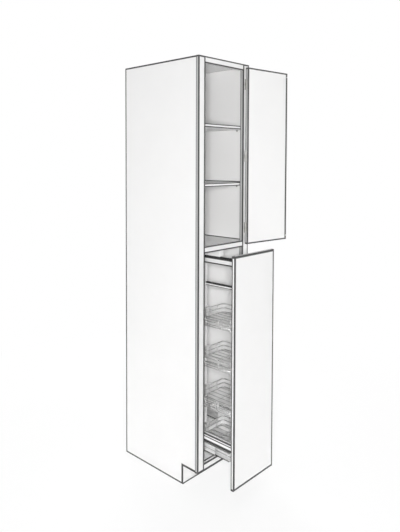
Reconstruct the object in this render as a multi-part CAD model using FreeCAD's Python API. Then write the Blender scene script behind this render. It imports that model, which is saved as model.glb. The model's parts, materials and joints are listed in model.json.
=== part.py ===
import FreeCAD, Part
import math
import os

# A tall face-framed pantry cabinet: a hinged door over two shelves, and a pull-out
# with wire baskets below. Millimetres. X runs to the right, Y towards the wall and Z up.
# The origin is on the floor at the wall, midway between the sides.
# Everything is drawn with the door and the pull-out shut. The door's pieces are then
# turned, and the pull-out's pieces moved, to the half-open pose in which the cabinet rests.

# Cabinet
CABINET_WIDTH = 457.2
CABINET_DEPTH = 609.6
CABINET_HEIGHT = 2438.4
KICK_HEIGHT = 107.95
KICK_DEPTH = 114.3

# Boards
SIDE_THICKNESS = 12.7
PANEL_THICKNESS = 12.7
BACK_THICKNESS = 6.35
NAILER_THICKNESS = 19.05
NAILER_HEIGHT = 101.6
KICK_BOARD_THICKNESS = 12.7
DADO_DEPTH = 6.0
BOARD_CLEARANCE = 0.1

# Face frame
FRAME_THICKNESS = 19.05
FRAME_OVERHANG = 3.2
STILE_WIDTH = 57.15
RAIL_HEIGHT = 38.1
RAIL_LIP = 3.0
MIDDLE_RAIL_TOP = 1384.3
TENON_LENGTH = 12.0
TENON_THICKNESS = 6.35
TENON_SHOULDER = 6.0
TENON_CLEARANCE = 0.1

# Shelves and their pins
SHELF_THICKNESS = 19.05
SHELF_SIDE_GAP = 1.5
SHELF_SETBACK = 4.0
SHELF_TOPS = (1734.8, 2072.6)
PIN_RADIUS = 2.45
PIN_CLEARANCE = 0.05
PIN_DEPTH = 8.5
PIN_END_GAP = 0.5
PIN_PLATE = 1.5
PIN_PLATE_WIDTH = 10.0
PIN_PLATE_HEIGHT = 12.0
PIN_LEDGE = 9.0
PIN_SETBACK = 55.0
PIN_PITCH = 38.1
SPARE_PIN_HOLES = 1

# Doors
DOOR_THICKNESS = 19.05
DOOR_STANDOFF = 2.0
DOOR_EASE = 1.5
OVERLAY_SIDE = 12.7
OVERLAY_TOP = 19.05
FRONT_OVERLAY_TOP = 9.525
FRONT_DROP = 25.4
DOOR_GAP = 6.35
BUMPER_SIZE = 8.0
BUMPER_SQUEEZE = 0.2
BUMPER_INSET = 25.0

# Hinges of the upper door
HINGE_COUNT = 3
HINGE_LENGTH = 64.0
HINGE_END_INSET = 100.0
KNUCKLE_RADIUS = 4.0
KNUCKLE_GAP = 0.3
KNUCKLE_EDGE_GAP = 0.5
HINGE_PIN_RADIUS = 2.0
HINGE_PIN_CLEARANCE = 0.05
LEAF_THICKNESS = 1.5
LEAF_WIDTH = 22.0
LEAF_MARGIN = 2.0
WEB_THICKNESS = 2.0

# Slides, on blocks beside the opening
SLIDE_LENGTH = 350.0
SLIDE_HEIGHT = 53.0
SLIDE_DEPTH = 19.0
SLIDE_SHEET = 1.5
SLIDE_GAP = 0.4
SLIDE_LIP_SHARE = 0.55
SLIDE_BEAD_HEIGHT = 14.0
SLIDE_BEAD_DEPTH = 1.5
SLIDE_INSET = 1.0
SLIDE_RISE = 76.0
SLIDE_FRONT_GAP = 3.0
SPACER_MARGIN = 10.0

# Pull-out frame
FRAME_CLEARANCE = 1.0
CARRIAGE_SHEET = 2.0
CARRIAGE_GAP = 12.0
CARRIAGE_RAIL_HEIGHT = 41.0
CARRIAGE_GROOVE = 2.0
CARRIAGE_END_GAP = 14.0
POST_SIZE = 16.0
POST_WALL = 1.5
CROSS_BAR_HEIGHT = 20.0
CARRIAGE_TAIL = 12.0
GUIDE_DROP = 53.0
GUIDE_HEIGHT = 36.0
GUIDE_WIDTH = 20.0
GUIDE_WALL = 1.5
GUIDE_REAR_GAP = 44.0
STRIP_WIDTH = 12.0
STRIP_HEIGHT = 10.0
STRIP_CLEARANCE = 0.5
TRACK_WALL = 2.0
TRACK_REAR_GAP = 32.0
TRACK_SPACER_WIDTH = 38.0
TIE_DROP = 114.0
TIE_HEIGHT = 20.0
BRACKET_COUNT = 3
BRACKET_HEIGHT = 40.0
BRACKET_FLANGE = 24.0
BRACKET_END_INSET = 90.0
CORNER_BRACKET = 26.0

# Baskets
BASKET_COUNT = 4
BASKET_PITCH = 235.0
BASKET_RISE = 7.6
BASKET_SIDE_GAP = 2.5
BASKET_FRONT_GAP = 8.0
BASKET_REAR_GAP = 13.0
BASKET_CORNER = 18.0
CORNER_FACETS = 3
RING_COUNT = 3
RING_PITCH = 25.4
BAR_HEIGHT = 5.0
BAR_THICKNESS = 5.0
CROSS_SIZE = 4.0
WIRE_RADIUS = 2.0
WIRE_PITCH = 40.0
CLIP_WIDTH = 30.0
CLIP_WALL = 3.0
CLIP_CLEARANCE = 0.3
CLIP_HOOK = 6.0

# Pose at rest
DOOR_REST_ANGLE = 174.0
PULL_REST = 196.0

# Planes and levels that several pieces share
FRONT_Y = -CABINET_DEPTH
CARCASS_FRONT_Y = FRONT_Y + FRAME_THICKNESS
KICK_Y = FRONT_Y + KICK_DEPTH
BACK_Y = -NAILER_THICKNESS - BACK_THICKNESS
SIDE_OUTER_X = CABINET_WIDTH / 2 - FRAME_OVERHANG
SIDE_INNER_X = SIDE_OUTER_X - SIDE_THICKNESS
SEAT_X = SIDE_INNER_X + DADO_DEPTH - BOARD_CLEARANCE
OPENING_X = CABINET_WIDTH / 2 - STILE_WIDTH
FLOOR_TOP = KICK_HEIGHT + RAIL_HEIGHT - RAIL_LIP
FLOOR_BASE = FLOOR_TOP - PANEL_THICKNESS
DECK_TOP = MIDDLE_RAIL_TOP - RAIL_LIP
DECK_BASE = DECK_TOP - PANEL_THICKNESS
MIDDLE_RAIL_BASE = MIDDLE_RAIL_TOP - RAIL_HEIGHT
TOP_RAIL_BASE = CABINET_HEIGHT - RAIL_HEIGHT
DOOR_BACK_Y = FRONT_Y - DOOR_STANDOFF
DOOR_FRONT_Y = DOOR_BACK_Y - DOOR_THICKNESS
DOOR_X = OPENING_X + OVERLAY_SIDE
FRONT_TOP = MIDDLE_RAIL_BASE + FRONT_OVERLAY_TOP
FRONT_BASE = KICK_HEIGHT - FRONT_DROP
DOOR_BASE = FRONT_TOP + DOOR_GAP
DOOR_TOP = TOP_RAIL_BASE + OVERLAY_TOP
HINGE_X = DOOR_X + KNUCKLE_EDGE_GAP + KNUCKLE_RADIUS
HINGE_Y = DOOR_BACK_Y - DOOR_THICKNESS / 2
SLIDE_BASE = FLOOR_TOP + SLIDE_RISE
SLIDE_X = OPENING_X - SLIDE_INSET
SLIDE_FRONT_Y = CARCASS_FRONT_Y + SLIDE_FRONT_GAP
CARRIAGE_X = SLIDE_X - SLIDE_DEPTH - CARRIAGE_SHEET
CARRIAGE_TOP = SLIDE_BASE + SLIDE_HEIGHT + CARRIAGE_GAP + CARRIAGE_RAIL_HEIGHT
CARRIAGE_REAR_Y = SLIDE_FRONT_Y + SLIDE_LENGTH - CARRIAGE_END_GAP
POST_FRONT_Y = DOOR_BACK_Y + CARRIAGE_SHEET
POST_REAR_Y = CARRIAGE_REAR_Y - CARRIAGE_TAIL - POST_SIZE
CROSS_BAR_TOP = SLIDE_BASE + CROSS_BAR_HEIGHT
GUIDE_TOP = MIDDLE_RAIL_BASE - GUIDE_DROP
GUIDE_BASE = GUIDE_TOP - GUIDE_HEIGHT
GUIDE_REAR_Y = BACK_Y - GUIDE_REAR_GAP
TRACK_TOP = GUIDE_TOP + STRIP_HEIGHT + STRIP_CLEARANCE + TRACK_WALL
TRACK_REAR_Y = BACK_Y - TRACK_REAR_GAP
BASKET_FRONT_Y = POST_FRONT_Y + POST_SIZE + BASKET_FRONT_GAP
BASKET_REAR_Y = POST_REAR_Y - BASKET_REAR_GAP
BASKET_X = CARRIAGE_X - BASKET_SIDE_GAP
RING_TOP = (RING_COUNT - 1) * RING_PITCH + BAR_HEIGHT

UP = FreeCAD.Vector(0, 0, 1)
ALONG_X = FreeCAD.Vector(1, 0, 0)
ALONG_Y = FreeCAD.Vector(0, 1, 0)


def box(x0, x1, y0, y1, z0, z1):
    """A block between two corners."""
    return Part.makeBox(x1 - x0, y1 - y0, z1 - z0, FreeCAD.Vector(x0, y0, z0))


def rod(radius, start, direction, length):
    """A round bar from a point along a direction."""
    return Part.makeCylinder(radius, length, FreeCAD.Vector(*start), direction)


def prism(points, sweep):
    """A closed outline of points, swept along a vector."""
    corners = [FreeCAD.Vector(*point) for point in points]
    outline = Part.makePolygon(corners + corners[:1])
    return Part.Face(outline).extrude(sweep)


def tube(x0, x1, y0, y1, z0, z1, wall, axis):
    """A square tube: a block with a square hole along one axis (0 is X, 1 is Y, 2 is Z)."""
    inset = [wall, wall, wall]
    inset[axis] = 0
    dx, dy, dz = inset
    return box(x0, x1, y0, y1, z0, z1).cut(box(x0 + dx, x1 - dx, y0 + dy, y1 - dy, z0 + dz, z1 - dz))


def mirrored(shape):
    """The same piece on the other side of the cabinet's middle plane."""
    return shape.mirror(FreeCAD.Vector(0, 0, 0), ALONG_X)


def evenly(start, end, count):
    """Places from start to end, spaced alike."""
    step = (end - start) / (count - 1)
    return [start + step * index for index in range(count)]


def save(name, *solids):
    """Write one sub-part: a single solid, or a group of like solids."""
    shape = solids[0] if len(solids) == 1 else Part.makeCompound(solids)
    shape.exportStep(f"parts/{name}.step")


def save_pair(name, left):
    """Write a left-hand piece and its mirror image."""
    save(f"left_{name}", left)
    save(f"right_{name}", mirrored(left))


def save_pulled(name, *solids, share=1.0):
    """Write a piece of the pull-out, moved out by a share of its travel at rest."""
    out = FreeCAD.Vector(0, -PULL_REST * share, 0)
    save(name, *[solid.translated(out) for solid in solids])


def save_swung(name, *solids):
    """Write a piece of the upper door, turned about the hinge pins to its pose at rest."""
    centre = FreeCAD.Vector(HINGE_X, HINGE_Y, 0)
    save(name, *[solid.rotated(centre, UP, DOOR_REST_ANGLE) for solid in solids])


# Carcass boards

def pin_columns():
    """The two depths at which each side has a column of shelf pins."""
    return (CARCASS_FRONT_Y + PIN_SETBACK, BACK_Y - PIN_SETBACK)


def pin_level(shelf_top):
    """Height of a shelf's pins, under the ledge that the shelf lies on."""
    return shelf_top - SHELF_THICKNESS - PIN_PLATE - PIN_RADIUS


def side_panel():
    """The left side: toe notch, dados for the three boards, a back groove and pin holes."""
    outline = [
        (-SIDE_OUTER_X, 0, 0),
        (-SIDE_OUTER_X, KICK_Y, 0),
        (-SIDE_OUTER_X, KICK_Y, KICK_HEIGHT),
        (-SIDE_OUTER_X, CARCASS_FRONT_Y, KICK_HEIGHT),
        (-SIDE_OUTER_X, CARCASS_FRONT_Y, CABINET_HEIGHT),
        (-SIDE_OUTER_X, 0, CABINET_HEIGHT),
    ]
    panel = prism(outline, FreeCAD.Vector(SIDE_THICKNESS, 0, 0))
    bed = -SIDE_INNER_X - DADO_DEPTH
    cuts = [box(bed, -SIDE_INNER_X, BACK_Y - BOARD_CLEARANCE, BACK_Y + BACK_THICKNESS + BOARD_CLEARANCE,
                FLOOR_BASE - BOARD_CLEARANCE, CABINET_HEIGHT)]
    for base in (FLOOR_BASE, DECK_BASE, CABINET_HEIGHT - PANEL_THICKNESS):
        cuts.append(box(bed, -SIDE_INNER_X, CARCASS_FRONT_Y, BACK_Y,
                        base - BOARD_CLEARANCE, base + PANEL_THICKNESS + BOARD_CLEARANCE))
    for shelf_top in SHELF_TOPS:
        for step in range(SPARE_PIN_HOLES + 1):
            for y in pin_columns():
                mouth = (-SIDE_INNER_X, y, pin_level(shelf_top) + step * PIN_PITCH)
                cuts.append(rod(PIN_RADIUS + PIN_CLEARANCE, mouth, -ALONG_X, PIN_DEPTH + PIN_END_GAP))
    return panel.cut(cuts)


def board_in_dados(base):
    """A level board whose ends sit in the sides' dados."""
    return box(-SEAT_X, SEAT_X, CARCASS_FRONT_Y, BACK_Y, base, base + PANEL_THICKNESS)


def nailer(base, top):
    """A rail behind the back panel, through which the cabinet is screwed to the wall."""
    return box(-SIDE_INNER_X, SIDE_INNER_X, -NAILER_THICKNESS, 0, base, top)


def build_carcass():
    save_pair("side_panel", side_panel())
    save("top_panel", board_in_dados(CABINET_HEIGHT - PANEL_THICKNESS))
    save("middle_deck", board_in_dados(DECK_BASE))
    save("bottom_panel", board_in_dados(FLOOR_BASE))
    save("back_panel", box(-SEAT_X, SEAT_X, BACK_Y, BACK_Y + BACK_THICKNESS, FLOOR_BASE, CABINET_HEIGHT))
    save("top_nailer", nailer(CABINET_HEIGHT - NAILER_HEIGHT, CABINET_HEIGHT))
    save("middle_nailer", nailer(DECK_BASE - NAILER_HEIGHT / 2, DECK_BASE + NAILER_HEIGHT / 2))
    save("bottom_nailer", nailer(0, FLOOR_TOP))
    save("toe_kick_board", box(-SIDE_INNER_X, SIDE_INNER_X, KICK_Y, KICK_Y + KICK_BOARD_THICKNESS,
                               0, FLOOR_BASE))


# Face frame

def tenon(base, side, clearance=0.0):
    """The stub on a rail's end, or with a clearance the mortise that takes it."""
    middle_y = FRONT_Y + FRAME_THICKNESS / 2
    half = TENON_THICKNESS / 2 + clearance
    ends = sorted((side * OPENING_X, side * (OPENING_X + TENON_LENGTH + clearance)))
    return box(ends[0], ends[1], middle_y - half, middle_y + half,
               base + TENON_SHOULDER - clearance, base + RAIL_HEIGHT - TENON_SHOULDER + clearance)


def build_face_frame():
    bases = {"top_rail": TOP_RAIL_BASE, "middle_rail": MIDDLE_RAIL_BASE, "bottom_rail": KICK_HEIGHT}
    stile = box(-CABINET_WIDTH / 2, -OPENING_X, FRONT_Y, CARCASS_FRONT_Y, KICK_HEIGHT, CABINET_HEIGHT)
    save_pair("stile", stile.cut([tenon(base, -1, TENON_CLEARANCE) for base in bases.values()]))
    for name, base in bases.items():
        rail = box(-OPENING_X, OPENING_X, FRONT_Y, CARCASS_FRONT_Y, base, base + RAIL_HEIGHT)
        save(name, rail.fuse([tenon(base, -1), tenon(base, 1)]).removeSplitter())


# Shelves

def shelf_pin(y, shelf_top):
    """A left-hand pin: a peg in the side's hole, and an angle whose ledge carries the shelf."""
    ledge_top = shelf_top - SHELF_THICKNESS
    half = PIN_PLATE_WIDTH / 2
    plate = box(-SIDE_INNER_X, -SIDE_INNER_X + PIN_PLATE, y - half, y + half,
                ledge_top - PIN_PLATE_HEIGHT, ledge_top)
    ledge = box(-SIDE_INNER_X, -SIDE_INNER_X + PIN_LEDGE, y - half, y + half,
                ledge_top - PIN_PLATE, ledge_top)
    peg = rod(PIN_RADIUS, (-SIDE_INNER_X, y, pin_level(shelf_top)), -ALONG_X, PIN_DEPTH)
    return plate.fuse([ledge, peg]).removeSplitter()


def build_shelves():
    half_width = SIDE_INNER_X - SHELF_SIDE_GAP
    pins = []
    for name, top in zip(("lower_shelf", "upper_shelf"), SHELF_TOPS):
        save(name, box(-half_width, half_width, CARCASS_FRONT_Y + SHELF_SETBACK, BACK_Y - SHELF_SETBACK,
                       top - SHELF_THICKNESS, top))
        left = [shelf_pin(y, top) for y in pin_columns()]
        pins += left + [mirrored(pin) for pin in left]
    save("shelf_pins", *pins)


# Upper door and its hinges

def slab(base, top):
    """A plain door, closed over the frame, with the edges of its front and back eased."""
    plain = box(-DOOR_X, DOOR_X, DOOR_FRONT_Y, DOOR_BACK_Y, base, top)
    rims = [edge for edge in plain.Edges if abs(edge.tangentAt(0).y) < 0.5]
    return plain.makeFillet(DOOR_EASE, rims)


def bumpers(base, top, sides):
    """Soft square pads on the back of a door, short of the frame by a little."""
    tip_y = FRONT_Y - BUMPER_SQUEEZE
    half = BUMPER_SIZE / 2
    pads = []
    for side in sides:
        x = side * (OPENING_X + OVERLAY_SIDE / 2)
        for z in (base + BUMPER_INSET, top - BUMPER_INSET):
            pads.append(box(x - half, x + half, DOOR_BACK_Y, tip_y, z - half, z + half))
    return pads


def hinge_bases():
    return [middle - HINGE_LENGTH / 2
            for middle in evenly(DOOR_BASE + HINGE_END_INSET, DOOR_TOP - HINGE_END_INSET, HINGE_COUNT)]


def bored(knuckle, base):
    """Cut the pin's hole through a hinge leaf."""
    bore = HINGE_PIN_RADIUS + HINGE_PIN_CLEARANCE
    return knuckle.cut(rod(bore, (HINGE_X, HINGE_Y, base), UP, HINGE_LENGTH))


def frame_leaf(base):
    """The fixed leaf: a plate on the stile, and two outer knuckles held forward by a web."""
    knuckle = HINGE_LENGTH / 3
    half_web = WEB_THICKNESS / 2
    plate = box(HINGE_X - half_web, HINGE_X + LEAF_WIDTH, FRONT_Y - LEAF_THICKNESS, FRONT_Y,
                base, base + HINGE_LENGTH)
    solids = []
    for z in (base, base + 2 * knuckle):
        solids.append(rod(KNUCKLE_RADIUS, (HINGE_X, HINGE_Y, z), UP, knuckle))
        solids.append(box(HINGE_X - half_web, HINGE_X + half_web, HINGE_Y, FRONT_Y, z, z + knuckle))
    return bored(plate.fuse(solids), base).removeSplitter()


def edge_plate(base):
    """The part of the moving leaf that is let into the door's edge."""
    return box(DOOR_X - LEAF_THICKNESS, DOOR_X, DOOR_FRONT_Y + LEAF_MARGIN, DOOR_BACK_Y - LEAF_MARGIN,
               base, base + HINGE_LENGTH)


def door_leaf(base):
    """The moving leaf: the edge plate, and the middle knuckle on a short web."""
    knuckle = HINGE_LENGTH / 3
    low = base + knuckle + KNUCKLE_GAP
    length = knuckle - 2 * KNUCKLE_GAP
    half_web = WEB_THICKNESS / 2
    barrel = rod(KNUCKLE_RADIUS, (HINGE_X, HINGE_Y, low), UP, length)
    web = box(DOOR_X - LEAF_THICKNESS, HINGE_X, HINGE_Y - half_web, HINGE_Y + half_web, low, low + length)
    return bored(edge_plate(base).fuse([barrel, web]), base).removeSplitter()


def hinge_pin(base):
    """A plain pin, flush with the knuckles' ends."""
    return rod(HINGE_PIN_RADIUS, (HINGE_X, HINGE_Y, base), UP, HINGE_LENGTH)


def build_upper_door():
    bases = hinge_bases()
    save("hinge_frame_leaves", *[frame_leaf(base) for base in bases])
    save("hinge_pins", *[hinge_pin(base) for base in bases])
    save_swung("hinge_door_leaves", *[door_leaf(base) for base in bases])
    save_swung("upper_door", slab(DOOR_BASE, DOOR_TOP).cut([edge_plate(base) for base in bases]))
    save_swung("upper_door_bumpers", *bumpers(DOOR_BASE, DOOR_TOP, (-1,)))


# Slides: three nested channels on each side

def slide_channel(depth0, depth1, height0, height1, web_outside):
    """The section of one slide member, with a bead along its web, as depth and height pairs."""
    lean = SLIDE_BEAD_DEPTH
    middle = (height0 + height1) / 2
    bead0 = middle - SLIDE_BEAD_HEIGHT / 2
    bead1 = middle + SLIDE_BEAD_HEIGHT / 2
    sheet = SLIDE_SHEET
    inner_face = [(sheet, height0 + sheet), (sheet, bead0), (sheet + lean, bead0 + lean),
                  (sheet + lean, bead1 - lean), (sheet, bead1), (sheet, height1 - sheet)]
    outer_face = [(0, height1), (0, bead1), (lean, bead1 - lean), (lean, bead0 + lean),
                  (0, bead0), (0, height0)]
    span = depth1 - depth0
    section = [(span, height0), (span, height0 + sheet)] + inner_face
    section += [(span, height1 - sheet), (span, height1)] + outer_face
    if web_outside:
        return [(depth0 + depth, height) for depth, height in section]
    return [(depth1 - depth, height) for depth, height in section]


def slide_member(section):
    """Sweep a left-hand section along the slide. Depth 0 is the face of the spacer block."""
    points = [(-SLIDE_X + depth, SLIDE_FRONT_Y, SLIDE_BASE + height) for depth, height in section]
    return prism(points, FreeCAD.Vector(0, SLIDE_LENGTH, 0))


def build_slides():
    step = SLIDE_SHEET + SLIDE_GAP
    middle_reach = SLIDE_DEPTH - step - SLIDE_BEAD_DEPTH
    outer = slide_member(slide_channel(0, SLIDE_DEPTH * SLIDE_LIP_SHARE, 0, SLIDE_HEIGHT, True))
    middle = slide_member(slide_channel(step, middle_reach, step, SLIDE_HEIGHT - step, True))
    inner = slide_member(slide_channel(2 * step, SLIDE_DEPTH, 2 * step, SLIDE_HEIGHT - 2 * step, False))
    save_pair("slide_outer", outer)
    for side, turn in (("left", lambda shape: shape), ("right", mirrored)):
        save_pulled(f"{side}_slide_middle", turn(middle), share=0.5)
        save_pulled(f"{side}_slide_inner", turn(inner))
    save_pair("slide_spacer", box(-SIDE_INNER_X, -SLIDE_X, CARCASS_FRONT_Y,
                                  SLIDE_FRONT_Y + SLIDE_LENGTH + SPACER_MARGIN,
                                  SLIDE_BASE - SPACER_MARGIN, SLIDE_BASE + SLIDE_HEIGHT + SPACER_MARGIN))


# Pull-out frame

def carriage_side():
    """The left side of the carriage: a plate inside the slide, and a hollow rail above it."""
    rail_base = CARRIAGE_TOP - CARRIAGE_RAIL_HEIGHT
    outer_x = -SLIDE_X + FRAME_CLEARANCE
    plate_x = -CARRIAGE_X - CARRIAGE_SHEET
    plate = box(plate_x, -CARRIAGE_X, DOOR_BACK_Y, CARRIAGE_REAR_Y, SLIDE_BASE, CARRIAGE_TOP)
    rail = tube(outer_x, -CARRIAGE_X, DOOR_BACK_Y, CARRIAGE_REAR_Y,
                rail_base, CARRIAGE_TOP, CARRIAGE_SHEET, 1)
    groove_z = (rail_base + CARRIAGE_TOP) / 2
    groove = box(outer_x, outer_x + CARRIAGE_SHEET / 2, DOOR_BACK_Y, CARRIAGE_REAR_Y,
                 groove_z - CARRIAGE_GROOVE / 2, groove_z + CARRIAGE_GROOVE / 2)
    return plate.fuse(rail).removeSplitter().cut(groove)


def post_bracket(base):
    """A saddle that screws to the front's back and holds the front post between two ears."""
    half = POST_SIZE / 2
    top = base + BRACKET_HEIGHT
    plate = box(-half - BRACKET_FLANGE, half + BRACKET_FLANGE, DOOR_BACK_Y, POST_FRONT_Y, base, top)
    ears = [box(x, x + CARRIAGE_SHEET, DOOR_BACK_Y, POST_FRONT_Y + POST_SIZE, base, top)
            for x in (-half - CARRIAGE_SHEET, half)]
    return plate.fuse(ears).removeSplitter()


def corner_bracket():
    """An angle in the left front corner of the carriage, screwed to its side and to the front."""
    x = -CARRIAGE_X
    plate = box(x, x + CORNER_BRACKET, DOOR_BACK_Y, POST_FRONT_Y, CROSS_BAR_TOP, CARRIAGE_TOP)
    leg = box(x, x + CARRIAGE_SHEET, DOOR_BACK_Y, POST_FRONT_Y + POST_SIZE, CROSS_BAR_TOP, CARRIAGE_TOP)
    return plate.fuse(leg).removeSplitter()


def cross_bar(y):
    return tube(-CARRIAGE_X, CARRIAGE_X, y, y + POST_SIZE, SLIDE_BASE, CROSS_BAR_TOP, POST_WALL, 0)


def post(y):
    half = POST_SIZE / 2
    return tube(-half, half, y, y + POST_SIZE, CROSS_BAR_TOP, GUIDE_BASE, POST_WALL, 2)


def build_pull_out():
    half_post = POST_SIZE / 2
    half_guide = GUIDE_WIDTH / 2
    half_strip = STRIP_WIDTH / 2
    tie_top = GUIDE_BASE - TIE_DROP
    save_pulled("pull_out_front", slab(FRONT_BASE, FRONT_TOP))
    save_pulled("pull_out_bumpers", *bumpers(FRONT_BASE + RAIL_HEIGHT, FRONT_TOP, (-1, 1)))
    for name, side in (("left", carriage_side()), ("right", mirrored(carriage_side()))):
        save_pulled(f"carriage_{name}_side", side)
    bases = evenly(CARRIAGE_TOP + BRACKET_END_INSET, GUIDE_BASE - BRACKET_END_INSET, BRACKET_COUNT)
    corner = corner_bracket()
    brackets = [post_bracket(base) for base in bases] + [corner, mirrored(corner)]
    save_pulled("front_brackets", *brackets)
    save_pulled("carriage_front_bar", cross_bar(POST_FRONT_Y))
    save_pulled("carriage_rear_bar", cross_bar(POST_REAR_Y))
    save_pulled("front_post", post(POST_FRONT_Y))
    save_pulled("rear_post", post(POST_REAR_Y))
    save_pulled("tie_bar", tube(-half_post, half_post, POST_FRONT_Y + POST_SIZE, POST_REAR_Y,
                                tie_top - TIE_HEIGHT, tie_top, POST_WALL, 1))
    save_pulled("guide_rail", tube(-half_guide, half_guide, POST_FRONT_Y, GUIDE_REAR_Y,
                                   GUIDE_BASE, GUIDE_TOP, GUIDE_WALL, 1))
    save_pulled("guide_strip", box(-half_strip, half_strip, POST_FRONT_Y, GUIDE_REAR_Y,
                                   GUIDE_TOP, GUIDE_TOP + STRIP_HEIGHT))


def build_top_track():
    """The fixed track over the guide strip, hung from the deck on a spacer block."""
    inner = STRIP_WIDTH / 2 + STRIP_CLEARANCE
    outer = inner + TRACK_WALL
    low = GUIDE_TOP + STRIP_CLEARANCE
    track = box(-outer, outer, SLIDE_FRONT_Y, TRACK_REAR_Y, low, TRACK_TOP)
    channel = box(-inner, inner, SLIDE_FRONT_Y, TRACK_REAR_Y, low, TRACK_TOP - TRACK_WALL)
    save("top_guide_track", track.cut(channel))
    half_spacer = TRACK_SPACER_WIDTH / 2
    save("top_track_spacer", box(-half_spacer, half_spacer, CARCASS_FRONT_Y, TRACK_REAR_Y,
                                 TRACK_TOP, DECK_BASE))


# Baskets

def basket_plan(z, inset):
    """The basket's outline at a height, drawn in by an inset, with each corner bent in short facets."""
    radius = BASKET_CORNER - inset
    x = BASKET_X - BASKET_CORNER
    rear_y = BASKET_REAR_Y - BASKET_CORNER
    front_y = BASKET_FRONT_Y + BASKET_CORNER
    points = []
    for quarter, (corner_x, corner_y) in enumerate([(x, rear_y), (-x, rear_y), (-x, front_y), (x, front_y)]):
        for step in range(CORNER_FACETS + 1):
            angle = math.pi / 2 * (quarter + step / CORNER_FACETS)
            points.append((corner_x + radius * math.cos(angle), corner_y + radius * math.sin(angle), z))
    return points


def ring(z):
    """One square bar, bent round into a closed ring."""
    rise = UP * BAR_HEIGHT
    return prism(basket_plan(z, 0), rise).cut(prism(basket_plan(z, BAR_THICKNESS), rise))


def floor_places():
    """Places of the floor wires across the basket, alike on both sides of its middle."""
    pairs = int((BASKET_X - BAR_THICKNESS - BASKET_CORNER) / WIRE_PITCH)
    return [index * WIRE_PITCH for index in range(-pairs, pairs + 1)]


def floor_wire(x, base):
    """A thin bar from front to rear, six-sided with flats above and below."""
    start_y = BASKET_FRONT_Y + BAR_THICKNESS / 2
    length = BASKET_REAR_Y - BAR_THICKNESS / 2 - start_y
    z = base + BAR_HEIGHT / 2
    points = []
    for side in range(6):
        angle = math.pi / 3 * side
        points.append((x + WIRE_RADIUS * math.cos(angle), start_y, z + WIRE_RADIUS * math.sin(angle)))
    return prism(points, ALONG_Y * length)


def basket_cross(y, base):
    """A bar across under the floor wires, turned up inside the rings at both sides."""
    outer_x = BASKET_X - BAR_THICKNESS
    half = CROSS_SIZE / 2
    top = base + BAR_HEIGHT / 2 - WIRE_RADIUS * math.cos(math.pi / 6)
    bars = [box(-outer_x, outer_x, y - half, y + half, top - CROSS_SIZE, top)]
    for x in (-outer_x, outer_x - CROSS_SIZE):
        bars.append(box(x, x + CROSS_SIZE, y - half, y + half, top, base + RING_TOP))
    return bars


def end_uprights(x, base):
    """The turned-up ends of one floor wire, inside the rings at the front and the rear."""
    half = CROSS_SIZE / 2
    low = base + BAR_HEIGHT / 2
    return [box(x - half, x + half, y, y + CROSS_SIZE, low, base + RING_TOP)
            for y in (BASKET_FRONT_Y + BAR_THICKNESS, BASKET_REAR_Y - BAR_THICKNESS - CROSS_SIZE)]


def basket(base):
    """Three rings, floor wires from front to rear, and two bars that cross under them."""
    bars = [ring(base + level * RING_PITCH) for level in range(RING_COUNT)]
    places = floor_places()
    bars += [floor_wire(x, base) for x in places]
    for x in (places[1], places[-2]):
        bars += end_uprights(x, base)
    for y in evenly(BASKET_FRONT_Y, BASKET_REAR_Y, 4)[1:3]:
        bars += basket_cross(y, base)
    return bars[0].fuse(bars[1:]).removeSplitter()


def basket_clip(post_y, ring_y, inward, base):
    """A hook from a post: over the basket's top ring, and under its bottom ring."""
    gap = CLIP_CLEARANCE
    top = base + RING_TOP + gap
    ledge = base - gap
    face_y = ring_y - inward * gap
    inside_y = ring_y + inward * (BAR_THICKNESS + gap)
    tip_y = inside_y + inward * CLIP_WALL
    outline = [
        (post_y, ledge - CLIP_WALL),
        (inside_y, ledge - CLIP_WALL),
        (inside_y, ledge),
        (face_y, ledge),
        (face_y, top),
        (inside_y, top),
        (inside_y, top - CLIP_HOOK),
        (tip_y, top - CLIP_HOOK),
        (tip_y, top + CLIP_WALL),
        (post_y, top + CLIP_WALL),
    ]
    return prism([(-CLIP_WIDTH / 2, y, z) for y, z in outline], FreeCAD.Vector(CLIP_WIDTH, 0, 0))


def build_baskets():
    clips = []
    for index in range(BASKET_COUNT):
        base = SLIDE_BASE + BASKET_RISE + index * BASKET_PITCH
        save_pulled(f"basket_{index + 1}", basket(base))
        clips.append(basket_clip(POST_FRONT_Y + POST_SIZE, BASKET_FRONT_Y, 1, base))
        clips.append(basket_clip(POST_REAR_Y, BASKET_REAR_Y, -1, base))
    save_pulled("basket_clips", *clips)


os.makedirs("parts", exist_ok=True)
build_carcass()
build_face_frame()
build_shelves()
build_upper_door()
build_slides()
build_pull_out()
build_top_track()
build_baskets()
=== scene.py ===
# %% [markdown]
# # Dressing a tall pantry cabinet
# The cabinet arrives as plain solids: boards, a face frame, a hinged door, slides and a pull-out.
# This lesson gives every board and fitting its finish, bends round wire into baskets, and adds the
# small fasteners. The solids already stand in the right place, so nothing here is moved or resized.

# %% Load the cabinet
import json
import math

import bmesh
import bpy
from mathutils import Matrix, Vector

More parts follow.
